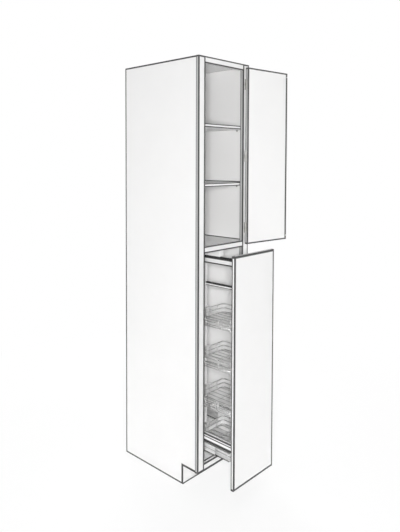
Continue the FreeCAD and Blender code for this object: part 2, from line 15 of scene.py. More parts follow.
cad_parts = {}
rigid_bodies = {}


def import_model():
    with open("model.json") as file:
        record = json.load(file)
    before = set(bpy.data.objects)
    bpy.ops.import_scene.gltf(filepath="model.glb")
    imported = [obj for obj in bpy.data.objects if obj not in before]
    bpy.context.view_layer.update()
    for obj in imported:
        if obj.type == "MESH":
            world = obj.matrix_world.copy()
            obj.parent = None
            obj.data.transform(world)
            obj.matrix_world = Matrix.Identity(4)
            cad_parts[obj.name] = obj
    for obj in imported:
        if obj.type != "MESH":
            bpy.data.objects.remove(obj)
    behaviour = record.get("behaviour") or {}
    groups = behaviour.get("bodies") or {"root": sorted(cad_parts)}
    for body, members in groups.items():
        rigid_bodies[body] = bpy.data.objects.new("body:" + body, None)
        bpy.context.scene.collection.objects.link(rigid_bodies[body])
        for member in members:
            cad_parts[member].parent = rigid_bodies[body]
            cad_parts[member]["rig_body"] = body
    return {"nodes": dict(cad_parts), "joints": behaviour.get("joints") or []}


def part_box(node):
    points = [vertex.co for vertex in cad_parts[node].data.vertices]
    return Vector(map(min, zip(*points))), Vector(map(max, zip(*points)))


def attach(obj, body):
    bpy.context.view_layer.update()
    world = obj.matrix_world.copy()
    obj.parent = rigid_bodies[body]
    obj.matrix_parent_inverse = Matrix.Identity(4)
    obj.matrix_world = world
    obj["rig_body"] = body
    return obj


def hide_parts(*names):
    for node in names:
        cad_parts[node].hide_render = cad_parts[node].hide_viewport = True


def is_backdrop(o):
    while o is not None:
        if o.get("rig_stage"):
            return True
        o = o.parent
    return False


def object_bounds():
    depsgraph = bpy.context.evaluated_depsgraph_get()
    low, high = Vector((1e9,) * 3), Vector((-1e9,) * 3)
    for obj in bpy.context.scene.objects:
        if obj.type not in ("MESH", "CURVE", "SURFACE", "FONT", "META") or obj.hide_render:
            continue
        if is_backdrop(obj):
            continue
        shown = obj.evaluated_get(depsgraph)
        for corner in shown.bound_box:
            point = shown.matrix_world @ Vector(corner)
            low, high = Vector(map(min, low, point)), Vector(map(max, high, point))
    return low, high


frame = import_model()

scene = bpy.context.scene
nodes = frame["nodes"]
cad_low, cad_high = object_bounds()
print("solids:", len(nodes), "box:", [round(v, 4) for v in cad_low], [round(v, 4) for v in cad_high])

# %% [markdown]
# ## Where the viewer stands
# The reference is seen from the left, at about head height, and its upright edges stay almost
# parallel. A camera that is tipped far down would make them lean together. Like an architect's
# camera, this one is tipped only a little, and its lens is shifted to bring the plinth into the
# frame. The focal length and the optical centre are given in pixels of the frame, because that is
# how they were measured, and are then turned into a lens in millimetres and shares of the frame.

# %% The camera
frame_width, frame_height = 400, 532
focal_pixels = 537.1
optical_centre = (160, 186)
sensor = 36.0
eye = Vector((-2.4409, -2.5549, 1.8479))
yaw, pitch = math.radians(44.59), math.radians(-2.4)

lens = bpy.data.cameras.new("viewer")
lens.sensor_width = sensor
lens.lens = focal_pixels / frame_height * sensor
lens.shift_x = (frame_width / 2 - optical_centre[0]) / frame_height
lens.shift_y = (optical_centre[1] - frame_height / 2) / frame_height
viewer = bpy.data.objects.new("viewer", lens)
viewer.location = eye
viewer.rotation_euler = (math.pi / 2 + pitch, 0, -yaw)
scene.collection.objects.link(viewer)
scene.camera = viewer
print("lens %.1f mm, shift %.3f and %.3f" % (lens.lens, lens.shift_x, lens.shift_y))

# %% [markdown]
# ## Arithmetic on sockets
# A finish is a small sum: distances, noises and masks that are added, compared and mixed. Node by
# node such sums are long to read. This class wraps one socket, so that `1 - mask * 0.4` builds its
# Math nodes by itself. Its `node` method adds any other kind of node: settings first, because they
# decide which sockets there are, and then a value or a link for each socket.

# %% A socket that can be calculated with
def find_socket(sockets, name):
    """The socket with that identifier, or else the first with that name."""
    for socket in sockets:
        if socket.identifier == name:
            return socket
    return sockets[name]


class Signal:
    """One output socket of a node tree. Arithmetic on it adds Math nodes."""

    def __init__(self, socket):
        self.socket = socket

    def node(self, kind, settings=None, sockets=None, output=None):
        tree = self.socket.id_data
        made = tree.nodes.new(kind)
        for name, value in (settings or {}).items():
            setattr(made, name, value)
        for name, value in (sockets or {}).items():
            socket = find_socket(made.inputs, name)
            if isinstance(value, Signal):
                tree.links.new(value.socket, socket)
            else:
                socket.default_value = value
        if not made.outputs:
            return None
        return Signal(find_socket(made.outputs, output) if output else made.outputs[0])

    def maths(self, operation, first, second=0.0):
        return self.node("ShaderNodeMath", {"operation": operation}, {"Value": first, "Value_001": second})

    def __add__(self, other):
        return self.maths("ADD", self, other)

    def __radd__(self, other):
        return self.maths("ADD", other, self)

    def __sub__(self, other):
        return self.maths("SUBTRACT", self, other)

    def __rsub__(self, other):
        return self.maths("SUBTRACT", other, self)

    def __mul__(self, other):
        return self.maths("MULTIPLY", self, other)

    def __rmul__(self, other):
        return self.maths("MULTIPLY", other, self)

    def __truediv__(self, other):
        return self.maths("DIVIDE", self, other)

    def __rtruediv__(self, other):
        return self.maths("DIVIDE", other, self)

    def __abs__(self):
        return self.maths("ABSOLUTE", self)

    def least(self, other):
        return self.maths("MINIMUM", self, other)

    def most(self, other):
        return self.maths("MAXIMUM", self, other)

    def fade(self, start, end):
        """1 up to start, 0 from end on, and a smooth step between them."""
        return self.node("ShaderNodeMapRange", {"interpolation_type": "SMOOTHSTEP"},
                         {"Value": self, "From Min": start, "From Max": end, "To Min": 1.0, "To Max": 0.0})

    def between(self, low, high):
        """A signal that runs from 0 to 1, as one that runs from low to high."""
        return self.node("ShaderNodeMapRange", {}, {"Value": self, "To Min": low, "To Max": high})

    def tint(self, first, second):
        """A colour from first, where the signal is 0, to second, where it is 1."""
        return self.node("ShaderNodeMix", {"data_type": "RGBA"},
                         {"Factor_Float": self, "A_Color": first, "B_Color": second}, "Result_Color")

    def axis(self, name):
        return self.node("ShaderNodeSeparateXYZ", {}, {"Vector": self}, name)


print("reflected operators:", [name for name in vars(Signal) if name.startswith("__r")])

# %% [markdown]
# ## A white room
# The reference has no room at all: the cabinet stands on white. Lighting it until everything around
# burns out would bleach the paint too. So the world shows plain white only to the eye and to mirrors,
# and the light that it casts on the cabinet stays at a plain level.

# %% The world
white = (1.0, 1.0, 1.0, 1.0)
sky_level, shown_level = 0.31, 1.0


def first_signal(owner, kind, output):
    """Clear the nodes of a world, lamp or material, and start again with one node."""
    owner.use_nodes = True
    owner.node_tree.nodes.clear()
    return Signal(owner.node_tree.nodes.new(kind).outputs[output])


def seen_directly(start):
    """1 for rays from the eye, from a mirror or through glass."""
    seen = start.node("ShaderNodeLightPath", {}, {}, "Is Camera Ray")
    for ray in ("Is Glossy Ray", "Is Transmission Ray"):
        seen = seen.most(start.node("ShaderNodeLightPath", {}, {}, ray))
    return seen


scene.view_settings.view_transform = "Standard"
world = bpy.data.worlds.new("white_room")
sky = first_signal(world, "ShaderNodeTexCoord", "Generated")
lit = sky.node("ShaderNodeBackground", {}, {"Color": white, "Strength": sky_level})
shown = sky.node("ShaderNodeBackground", {}, {"Color": white, "Strength": shown_level})
room = sky.node("ShaderNodeMixShader", {}, {"Fac": seen_directly(sky), "Shader": lit, "Shader_001": shown})
sky.node("ShaderNodeOutputWorld", {}, {"Surface": room})
scene.world = world
print("the sky casts", sky_level, "and shows", shown_level)

# %% [markdown]
# ## The floor
# The floor looks plain white in the same way. A shadow catcher would give a white floor too, but it works
# only in a picture that is laid over another. Here the floor shows a share of its true shade near the
# cabinet, which keeps the soft shadow under the plinth. The share fades with the distance, so that the
# floor runs into the room without an edge.

# %% The floor
floor_reach = 14.0
floor_white = (0.92, 0.92, 0.92, 1.0)
shadow_share = 0.22
shadow_near, shadow_far = 0.9, 2.6
middle = (cad_low + cad_high) / 2

sheet = bmesh.new()
bmesh.ops.create_grid(sheet, x_segments=1, y_segments=1, size=floor_reach)
floor_mesh = bpy.data.meshes.new("floor")
sheet.to_mesh(floor_mesh)
sheet.free()
floor = bpy.data.objects.new("floor", floor_mesh)
scene.collection.objects.link(floor)
floor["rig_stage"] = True

floor_paint = bpy.data.materials.new("floor_paint")
ground = first_signal(floor_paint, "ShaderNodeTexCoord", "Object")
away = ground.node("ShaderNodeVectorMath", {"operation": "DISTANCE"},
                   {"Vector": ground, "Vector_001": (middle.x, middle.y, 0.0)}, "Value")
bare = away.fade(shadow_near, shadow_far) * shadow_share
matt = ground.node("ShaderNodeBsdfDiffuse", {}, {"Color": floor_white})
glow = ground.node("ShaderNodeEmission", {}, {"Color": white, "Strength": shown_level})
cover = ground.node("ShaderNodeMixShader", {}, {"Fac": seen_directly(ground) * (1 - bare),
                                                "Shader": matt, "Shader_001": glow})
ground.node("ShaderNodeOutputMaterial", {}, {"Surface": cover})
floor_mesh.materials.append(floor_paint)
print("floor", 2 * floor_reach, "m square")

# %% [markdown]
# ## Soft lamps
# A drawing has no shadows. A large lamp overhead would leave the bays dark. A lamp round the viewer's eye
# comes closest to the drawing: what it leaves in shade is hidden from the eye as well, and its light
# reaches as far into the cabinet as the eye does. So near a lamp would light the near end of a board
# more than the far end, and a Light Falloff node keeps this one as bright far off as near. The other
# lamps are for someone who walks round: a weak one at the front right, one behind, and one above.

# %% Lamps
key_watts, key_size = 8.5, 0.6
other_lamps = {  # place, watts and size
    "front_lamp": ((1.9, -4.5, 2.0), 12.0, 2.0),
    "back_lamp": ((3.0, 3.6, 3.2), 170.0, 3.0),
    "top_lamp": ((0.2, -0.4, 6.0), 44.0, 2.5),
}


def soft_lamp(name, place, watts, size):
    """A square lamp that faces the middle of the cabinet."""
    lamp = bpy.data.lights.new(name, "AREA")
    lamp.energy = watts
    lamp.size = size
    stand = bpy.data.objects.new(name, lamp)
    stand.location = place
    stand.rotation_euler = (middle - Vector(place)).to_track_quat("-Z", "Y").to_euler()
    scene.collection.objects.link(stand)
    print(name, "at", [round(v, 2) for v in place], watts, "W")
    return lamp


def keep_level(lamp):
    """Let a lamp's light go any distance without growing weaker."""
    even = first_signal(lamp, "ShaderNodeLightFalloff", "Constant")
    even.socket.node.inputs["Strength"].default_value = 1.0
    shine = even.node("ShaderNodeEmission", {}, {"Strength": even})
    even.node("ShaderNodeOutputLight", {}, {"Surface": shine})


keep_level(soft_lamp("key_lamp", eye, key_watts, key_size))
for name, (place, watts, size) in other_lamps.items():
    soft_lamp(name, place, watts, size)

# %% [markdown]
# ## Reading the solids
# A finish that follows a board's edges has to know where the board is. A box gives that for a board
# that stands square to the room. The upper door doesn't: it hangs open, turned about its hinge. So a
# board's place is its middle, its half sizes, and the angle by which it is turned. The door is
# turned back in thought, measured shut, and its middle is turned out again.

# %% Places of the boards
joints = {joint["name"]: joint for joint in frame["joints"]}
hinge = joints["upper_door_hinge"]
hinge_line = Vector(hinge["pos_m"])
door_angle = -math.radians(hinge["range_deg"][0])
closing = Matrix.Rotation(-door_angle, 4, "Z")
shut = Matrix.Translation(hinge_line) @ closing @ Matrix.Translation(-hinge_line)
swung = shut.inverted()


def corners(points):
    """Lowest and highest corner of some points."""
    points = list(points)
    return (Vector([min(p[axis] for p in points) for axis in range(3)]),
            Vector([max(p[axis] for p in points) for axis in range(3)]))


def place_of(node):
    """Middle, half sizes and turn of a board."""
    if nodes[node]["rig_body"] != "upper_door":
        low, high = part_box(node)
        return (low + high) / 2, (high - low) / 2, 0.0
    low, high = corners(shut @ v.co for v in nodes[node].data.vertices)
    return swung @ ((low + high) / 2), (high - low) / 2, door_angle


centre, half, angle = place_of("upper_door")
print("upper door %.4f x %.4f x %.4f m, open by %.0f degrees" % (*(2 * half), math.degrees(angle)))

# %% [markdown]
# ## Starting a finish
# Every finish begins with the piece's own coordinates, in metres, and ends in one shader. Generated
# coordinates would stretch a pattern with its board. Given in metres, it keeps its real scale on a
# long side panel and on a short rail.

# %% Helpers that every finish uses
def grey(level, warm=0.0):
    return (level + warm, level, level - warm, 1.0)


def begin(name):
    material = bpy.data.materials.new(name)
    return material, first_signal(material, "ShaderNodeTexCoord", "Object")


def end(point, sockets):
    surface = point.node("ShaderNodeBsdfPrincipled", {}, sockets)
    point.node("ShaderNodeOutputMaterial", {}, {"Surface": surface})


def noise(point, scale, detail=2.0):
    return point.node("ShaderNodeTexNoise", {}, {"Vector": point, "Scale": scale, "Detail": detail}, "Fac")


def bumps(height, depth, strength):
    return height.node("ShaderNodeBump", {}, {"Height": height, "Distance": depth, "Strength": strength})


def dress(node, material):
    nodes[node].material_slots[0].material = material


def count_finishes(start):
    return len([material for material in bpy.data.materials if material.name.startswith(start)])


print("solids that wait for a finish:", len(nodes))

# %% [markdown]
# ## A board's own coordinates
# Sums about a board are simplest from its middle, along its own width, thickness and height. The place
# could be taken off with Math nodes, axis by axis, but the open door is turned as well. A Mapping node of
# the Texture kind undoes a move and a turn together, so that the door is measured as if it were shut.

# %% Coordinates inside a board
def local(point, centre, angle):
    """Coordinates from a board's middle, along its own width, thickness and height."""
    return point.node("ShaderNodeMapping", {"vector_type": "TEXTURE"},
                      {"Vector": point, "Location": centre, "Rotation": (0.0, 0.0, angle)})


def within(point, node):
    """A board's own coordinates and its half sizes."""
    centre, half, angle = place_of(node)
    return local(point, centre, angle), half


print("the top rail's half sizes:", [round(v, 4) for v in place_of("top_rail")[1]])

# %% [markdown]
# ## The line along an edge
# The reference draws each board as a white face with a thin dark outline. Here that outline is painted
# into the colour as a dark line along each edge. Lines could be modelled as strips, but a distance does
# it on the face itself. Inside a box, a point has a distance to each pair of faces.
# On the surface one of them is nothing, and the next smallest is the distance to the nearest edge.
# The lines are narrower across the thickness of a board, or its narrow face would be all line. Some
# edges of the reference have a bolder line, so the widest line and its share of a thickness can be
# chosen for a board.

# %% Distance to the nearest edge
line_width, bold_line = 0.0110, 0.0145
line_share, bold_share = 0.24, 0.32
line_core = 0.65


def line_widths(half, widest=line_width, share=line_share):
    """The width of a line across each of a board's sizes."""
    return [min(widest, share * 2 * size) for size in half]


def face_distances(point, half, widest=line_width, share=line_share):
    """How far a point is from each pair of faces, in widths of their lines."""
    widths = line_widths(half, widest, share)
    return [(size - abs(point.axis(name))) / width for name, size, width in zip("XYZ", half, widths)]


def second_smallest(distances):
    nearest, second = distances[0].least(distances[1]), distances[0].most(distances[1])
    for distance in distances[2:]:
        second = second.least(nearest.most(distance))
        nearest = nearest.least(distance)
    return second


# The edge line is a dark outline painted into a board's colour.
def edge_line(distances):
    return second_smallest(distances).fade(line_core, 1.0)


def ruled(distance, width):
    """A line of that half width along the places where a distance is nothing."""
    return distance.fade(line_core * width, width)


print("edge lines %.1f or %.1f mm wide" % (1000 * line_width, 1000 * bold_line))

# %% [markdown]
# ## Satin white paint
# Doors, frame and sides are sprayed white. A flat white looks like paper, so three things are added
# at their real size: cloudy differences of a percent or two, the faint orange peel that spraying
# leaves, and a gloss that wanders a little. Each painted board gets a finish of its own, because its
# outline is worked out from its own sizes.

# %% White paint
paint_white, paint_shade, outline_grey = grey(0.90, 0.002), grey(0.872, 0.003), grey(0.045)
cloud_scale, cloud_detail = 7.0, 4.0
peel_scale, peel_detail = 420.0, 3.0
peel_depth, peel_strength = 0.00012, 0.35
gloss_scale, paint_rough, paint_index = 35.0, (0.34, 0.52), 1.47


def clouded_white(point):
    return noise(point, cloud_scale, cloud_detail).tint(paint_white, paint_shade)


def begin_paint(node):
    """A board's own paint: coordinates of the cabinet and of the board, and the board's half sizes."""
    material, point = begin(f"white_paint_{node}")
    dress(node, material)
    return point, *within(point, node)


def end_paint(point, colour):
    peel = noise(point, peel_scale, peel_detail)
    end(point, {"Base Color": colour, "Roughness": noise(point, gloss_scale).between(*paint_rough),
                "Normal": bumps(peel, peel_depth, peel_strength), "IOR": paint_index})


print("peel of %.1f mm, %.2f mm deep" % (1000 / peel_scale, 1000 * peel_depth))

# %% [markdown]
# ## Rails, toe board and front
# These are plain boards. One paint could serve them all if each carried its sizes in an attribute, but
# the solids stay as they are, so a function builds a paint for each. The rails of the face frame have
# an outline all round. The toe board runs on between the sides, so it has no line at its ends. The
# front of the pull-out stands before white and has bolder lines, and where its narrow edges meet the
# opening the line is wider still.

# %% Rails, toe board and front
rear_line = 0.0085


def painted(node, butted=False, backed=False):
    """Paint with an outline. A butted board has no line at its ends. A backed one has bolder lines, and
    a wide one along the rear of its narrow edges."""
    point, inside, half = begin_paint(node)
    distances = face_distances(inside, half, bold_line if backed else line_width)
    if backed:
        depth, front_line = inside.axis("Y"), line_widths(half)[1]
        distances[1] = ((half.y - depth) / rear_line).least((half.y + depth) / front_line)
    if butted:
        distances = distances[1:]
    end_paint(point, edge_line(distances).tint(clouded_white(point), outline_grey))


for board in ("top_rail", "middle_rail", "bottom_rail"):
    painted(board)
painted("pull_out_front", backed=True)
painted("toe_kick_board", butted=True)
print("painted boards:", count_finishes("white_paint_"))

# %% [markdown]
# ## Stiles and door
# The stiles are the uprights of the face frame, and the door is a slab as thick as they are. Their narrow
# edges are painted grey as painted shade, as if those faces stood in shadow: both on a stile, and the
# hinge edge alone on the door, as the reference has it. A second material on those faces would do it,
# but it needs a change to the mesh. The distance from the edge picks them out instead. The heaviest
# upright lines are where the stiles meet the opening, and along the door's free edge.

# %% Stiles and door
# The grey of the narrow edge faces is painted shade.
edge_face_shade, shade_face_depth = grey(0.46), 0.0006
opening_line, free_line = 0.0135, 0.0190


def side_of(node):
    """-1 for a board on the left of the cabinet, and 1 for one on the right."""
    return math.copysign(1, place_of(node)[0].x)


def painted_upright(node, shaded_edges, inner_line):
    """A stile or door with narrow edges painted grey as painted shade, both or only the one at the hinge,
    and a line of its own width along its inner edge, which is the free one on a door."""
    point, inside, half = begin_paint(node)
    across = inside.axis("X")
    edge = half.x - (across if shaded_edges == "hinge" else abs(across))
    # Painted shade: the narrow edge faces turn grey.
    colour = edge.fade(shade_face_depth / 2, shade_face_depth).tint(clouded_white(point), edge_face_shade)
    outward = across * side_of(node)
    distances = [(half.x + outward) / inner_line, (half.x - outward) / line_width]
    distances += face_distances(inside, half)[1:]
    end_paint(point, edge_line(distances).tint(colour, outline_grey))


for side in ("left", "right"):
    painted_upright(f"{side}_stile", "both", opening_line)
painted_upright("upper_door", "hinge", free_line)
print("painted boards:", count_finishes("white_paint_"))

# %% [markdown]
# ## The lining of the bays
# The walls of the bays are faced in light grey. The reference shows both bays in one grey, so the lower
# one, which gets less light, is given a paler tone: painted light that makes up for its shade. A dark
# line is painted along the walls at the level where the deck and the lower shelf end. Strips could be
# modelled there, but a line at the right level shows the same.

# %% Lining and seams
# The paler lower tone is painted light for the darker lower bay.
lining_grey, lower_lining_painted_light = grey(0.765, 0.004), grey(0.90, 0.004)
seam_width = 0.0065
deck_low, deck_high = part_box("middle_deck")
seam_levels = (deck_high.z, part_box("lower_shelf")[1].z)


def by_bay(point, upper, lower):
    """One colour above the deck and another below it, where the lower bay's paler tone is painted light."""
    return point.axis("Z").fade(deck_low.z, deck_high.z).tint(upper, lower)


def wall_seams(point):
    """1 along the dark lines painted on the bays' walls at the deck's and the lower shelf's level."""
    z = point.axis("Z")
    first, second = [abs(z - level) for level in seam_levels]
    return ruled(first.least(second), seam_width)


print("seams at", [round(level, 3) for level in seam_levels], "m")

# %% [markdown]
# ## Side panels
# The sides are white outside and lined inside. The lining could be a thin board of its own, but it is
# only a facing, so a mask across the thickness divides the two colours. Outside, the outline goes round
# the toe notch too, and it leaves out the edge where the face frame is glued on.

# %% Side panels
lining_from, lining_to = -0.5, -0.4
toe_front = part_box("toe_kick_board")[0].y
frame_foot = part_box("left_stile")[0].z


def painted_side(node):
    """A side panel: grey on its inner half, and outlined on its outer face and round the toe notch,
    but not where it meets the face frame."""
    point, inside, half = begin_paint(node)
    across = inside.axis("X") * side_of(node)
    widths = line_widths(half)
    distances = face_distances(inside, half)
    distances[0] = (half.x - across) / widths[0]
    distances[1] = (half.y - inside.axis("Y")) / widths[1]
    notch = (point.axis("Y") - toe_front).most(point.axis("Z") - frame_foot) / bold_line
    lining = wall_seams(point).tint(by_bay(point, lining_grey, lower_lining_painted_light), outline_grey)
    lined = across.fade(lining_from * half.x, lining_to * half.x)
    colour = lined.tint(clouded_white(point), lining)
    end_paint(point, edge_line(distances + [notch]).tint(colour, outline_grey))


for side in ("left", "right"):
    painted_side(f"{side}_side_panel")
print("painted boards:", count_finishes("white_paint_"))

# %% [markdown]
# ## Laminate
# Inside, the boards are faced with laminate: light grey on what stands upright, and white on what
# lies flat. Close up it has fine specks of two tones. A Voronoi texture would give round dots, and a
# fine noise that is cut off at a level gives uneven ones, as printed paper has. The lines along the
# boards' edges are a dark outline painted into the colour, as on the painted boards.

# %% Laminate for shelves and panels
fleck_white, fleck_grey, fleck_lower_painted_light = grey(0.82, 0.002), grey(0.70, 0.003), grey(0.82, 0.003)
speck_scale, speck_detail, speck_weight = 900.0, 1.0, 0.5
speck_from, speck_to = 0.52, 0.66
haze_scale, haze_detail, haze_weight = 5.0, 3.0, 0.25
press_scale, press_depth, press_strength = 700.0, 0.00008, 0.25
laminate_rough, front_share = (0.42, 0.55), 0.2


def laminated(node, banded):
    """Laminate: white with a dark outline painted along its edges where it is banded, or else grey with the
    walls' dark lines on its front."""
    material, point = begin(f"interior_{node}")
    specks = noise(point, speck_scale, speck_detail).fade(speck_from, speck_to)
    haze = noise(point, haze_scale, haze_detail)
    inside, half = within(point, node)
    if banded:
        light, fleck = paint_white, fleck_white
        line = edge_line(face_distances(inside, half, line_width, bold_share))
    else:
        # Below the deck the paler tones are painted light for the darker lower bay.
        light, fleck = by_bay(point, lining_grey, lower_lining_painted_light), by_bay(point, fleck_grey, fleck_lower_painted_light)
        line = wall_seams(point) * inside.axis("Y").fade(-front_share * half.y, front_share * half.y)
    colour = (1 - specks * speck_weight - haze * haze_weight).tint(fleck, light)
    end(point, {"Base Color": line.tint(colour, outline_grey), "Roughness": haze.between(*laminate_rough),
                "Normal": bumps(noise(point, press_scale), press_depth, press_strength), "IOR": paint_index})
    dress(node, material)


for board in ("upper_shelf", "lower_shelf", "middle_deck", "bottom_panel", "top_panel"):
    laminated(board, True)
for board in ("back_panel", "top_track_spacer", "left_slide_spacer", "right_slide_spacer"):
    laminated(board, False)
print("laminated boards:", count_finishes("interior_"))

# %% [markdown]
# ## Bare wood
# The rails behind the back are never seen in use, so makers leave them bare. Wood is pale earlywood
# with thin darker latewood lines, drawn out along the board. A Wave texture gives lines that are too
# even. The pattern here is a noise squeezed across the grain, read once for the lines and once for
# the pores.

# %% Bare wood
early_wood, late_wood = (0.640, 0.470, 0.285, 1.0), (0.405, 0.255, 0.130, 1.0)
wood_outline = (0.10, 0.06, 0.03, 1.0)
grain_scale = Vector((3.0, 60.0, 60.0))
ring_detail, ring_from, ring_to, ring_weight = 4.0, 0.42, 0.60, 0.75
pore_fineness, pore_from, pore_to, pore_weight = 8.0, 0.40, 0.70, 0.25
pore_depth, pore_strength, wood_rough = 0.0002, 0.4, (0.55, 0.75)


def stretched(point, scale):
    return point.node("ShaderNodeMapping", {}, {"Vector": point, "Scale": scale})


def bare_wood(node):
    """A board whose grain runs along X."""
    material, point = begin(f"raw_wood_{node}")
    rings = noise(stretched(point, grain_scale), 1.0, ring_detail)
    pores = noise(stretched(point, pore_fineness * grain_scale), 1.0)
    streak = rings.fade(ring_from, ring_to) * ring_weight + pores.fade(pore_from, pore_to) * pore_weight
    colour = streak.tint(late_wood, early_wood)
    # A dark outline is painted along the board's edges.
    colour = edge_line(face_distances(*within(point, node))).tint(colour, wood_outline)
    end(point, {"Base Color": colour, "Roughness": pores.between(*wood_rough),
                "Normal": bumps(pores, pore_depth, pore_strength)})
    dress(node, material)


for board in ("top_nailer", "middle_nailer", "bottom_nailer"):
    bare_wood(board)
print("bare boards:", count_finishes("raw_wood_"))

# %% [markdown]
# ## Plated metals
# Slides are bright zinc, hinges and shelf pins are satin nickel, and baskets are plated wire. Plate
# is all reflection, so what tells one from another is the roughness and the fine lines that rolling
# or brushing left. An anisotropic shader smears the reflections but draws no lines, and a squeezed
# noise does. Slides are rolled along their length and have a milky film, and hinges are tumbled, so
# that theirs is even.

# %% Plated metals
streak_detail, streak_weight = 3.0, 0.6
patch_scale, patch_detail, patch_weight = 60.0, 3.0, 0.4
streak_depth, streak_strength = 0.00005, 0.25
rolled, tumbled, drawn = (900, 6, 900), (400, 400, 400), (300, 300, 300)


def plated(name, colour, shade, scale, rough, film=0.0, add_lines=None):
    """Plate with fine lines. A milky film dulls the metal. The last argument is a function that adds
    painted dark lines to a colour."""
    material, point = begin(name)
    streaks = noise(stretched(point, scale), 1.0, streak_detail)
    patches = noise(point, patch_scale, patch_detail)
    colour = patches.tint(colour, shade)
    if add_lines:
        colour = add_lines(point, colour)
    sheen = streaks * streak_weight + patches * patch_weight
    end(point, {"Base Color": colour, "Metallic": 1.0 - film, "Roughness": sheen.between(*rough),
                "Normal": bumps(streaks, streak_depth, streak_strength)})
    return material


zinc_plate = ((0.78, 0.78, 0.775, 1.0), (0.68, 0.68, 0.675, 1.0), rolled, (0.32, 0.54), 0.4)
zinc = plated("zinc", *zinc_plate)
nickel = plated("nickel", (0.47, 0.465, 0.455, 1.0), (0.38, 0.375, 0.365, 1.0), tumbled, (0.36, 0.50))
wire_tones = (0.66, 0.66, 0.655, 1.0), (0.56, 0.56, 0.555, 1.0)
wire_plate = plated("chrome_wire", *wire_tones, drawn, (0.30, 0.44), 0.1)
for fitting in ("left_slide_outer", "right_slide_outer", "basket_clips"):
    dress(fitting, zinc)
for fitting in ("shelf_pins", "hinge_frame_leaves", "hinge_pins", "hinge_door_leaves"):
    dress(fitting, nickel)
print("plated:", zinc.name, nickel.name, wire_plate.name)

# %% [markdown]
# ## Lines on the slides
# A dark line is painted along the lower lip of a slide, and a faint grey one along its bead, as the
# reference draws them. The members run in each other, so only what can be seen from outside gets the
# lines. An image could hold such lines, but measured from a member's own box they stay in place on
# any slide. Each has a depth, from the outer side of its member, past which it stops.

# %% Middle and inner members of the slides
lip_line, bead_line = 0.0065, 0.0022
bead_grey = grey(0.30)
line_depths = {"middle": (0.0025, 0.0025), "inner": (0.0060, 0.0200)}  # of the lip and of the bead
soft_step = 0.0005


def lined_slide(node, lip_depth, bead_depth):
    """Zinc with a dark line painted along a member's lower lip, and a grey one along its bead."""
    low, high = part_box(node)

    def add_lines(point, colour):
        z = point.axis("Z")
        depth = max(abs(low.x), abs(high.x)) - abs(point.axis("X"))
        bead = ruled(abs(z - (low.z + high.z) / 2), bead_line)
        bead = bead * depth.fade(bead_depth, bead_depth + soft_step)
        lip = ruled(z - low.z, lip_line) * depth.fade(lip_depth, lip_depth + soft_step)
        return lip.tint(bead.tint(colour, bead_grey), outline_grey)

    dress(node, plated(f"zinc_{node}", *zinc_plate, add_lines))


for side in ("left", "right"):
    for member, depths in line_depths.items():
        lined_slide(f"{side}_slide_{member}", *depths)
print("dusty members:", count_finishes("zinc_"))

# %% [markdown]
# ## Powder coat and plastic
# Powder is baked on thick and sets with a fine leathery grain. The pull-out's frame is white, apart
# from the track above it and a part of its tie bar. The strip in the track is a dark plastic, with much
# the same grain. The grain could be real relief, but at a tenth of a millimetre a bump shows the same
# and costs no faces.

# %% Coated and moulded pieces
coat_white, coat_dust = grey(0.88, 0.001), grey(0.82)
# The dark coat serves the graphite track, and also the painted shade on the tie bar and carriage.
dark_coat_and_shade = grey(0.028)
leather_scale, leather_depth, leather_strength = 650.0, 0.0001, 0.4
coat_rough = (0.38, 0.60)
dust_scale, dust_detail, dust_weight = 25.0, 4.0, 0.6


def end_coat(point, colour):
    leather = noise(point, leather_scale)
    end(point, {"Base Color": colour, "Roughness": leather.between(*coat_rough),
                "Normal": bumps(leather, leather_depth, leather_strength)})


def dusted(point, colour, add_lines):
    """A coat with faint cloudy dust on it."""
    return (noise(point, dust_scale, dust_detail) * dust_weight).tint(colour, add_lines)


def coated(name, colour, add_lines):
    material, point = begin(name)
    end_coat(point, dusted(point, colour, add_lines))
    return material


white_metal = coated("white_metal", coat_white, coat_dust)
graphite = coated("graphite", dark_coat_and_shade, grey(0.05))
dark_plastic = coated("dark_plastic", grey(0.018), grey(0.032))
for fitting in ("front_brackets", "front_post", "rear_post", "carriage_front_bar", "carriage_rear_bar"):
    dress(fitting, white_metal)
dress("top_guide_track", graphite)
dress("guide_strip", dark_plastic)
print("coats:", white_metal.name, graphite.name, dark_plastic.name)

# %% [markdown]
# ## The tie bar
# The bar that ties the two posts together has a dark upper half, painted shade where its top lies in
# shadow, and a grey line along its foot. Two bars could be stacked, but it is one bar, so the height
# alone decides its colour.

# %% The tie bar
tie_foot = grey(0.16)
tie_shade_depth, tie_line = 0.0080, 0.0060


def shaded_top_bar(node):
    """White coat with a dark upper half, which is painted shade, and a line along its foot."""
    material, point = begin(f"graphite_{node}")
    low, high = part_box(node)
    z = point.axis("Z")
    colour = ruled(z - low.z, tie_line).tint(dusted(point, coat_white, coat_dust), tie_foot)
    # The dark upper part is painted shade.
    cap = (high.z - z).fade(tie_shade_depth - soft_step, tie_shade_depth + soft_step)
    end_coat(point, cap.tint(colour, dark_coat_and_shade))
    dress(node, material)


shaded_top_bar("tie_bar")
print("dark for the upper", 1000 * tie_shade_depth, "mm")

# %% [markdown]
# ## Rails of the pull-out
# The rails have outlines as the boards do. On the reference the carriage is a white band with a thin
# seam, over a thick dark line: below the white rail the outer face of its plate is painted dark, as
# painted shade in the recess behind the slide. Inside, where the baskets hang, the plate is plain white.
# Rail and plate are one piece of sheet, so masks for what is outside and what is below divide its colours.

# %% Guide rail and carriage
rail_height, plate_middle = 0.041, 0.001
band_drop, band_line = 0.017, 0.004


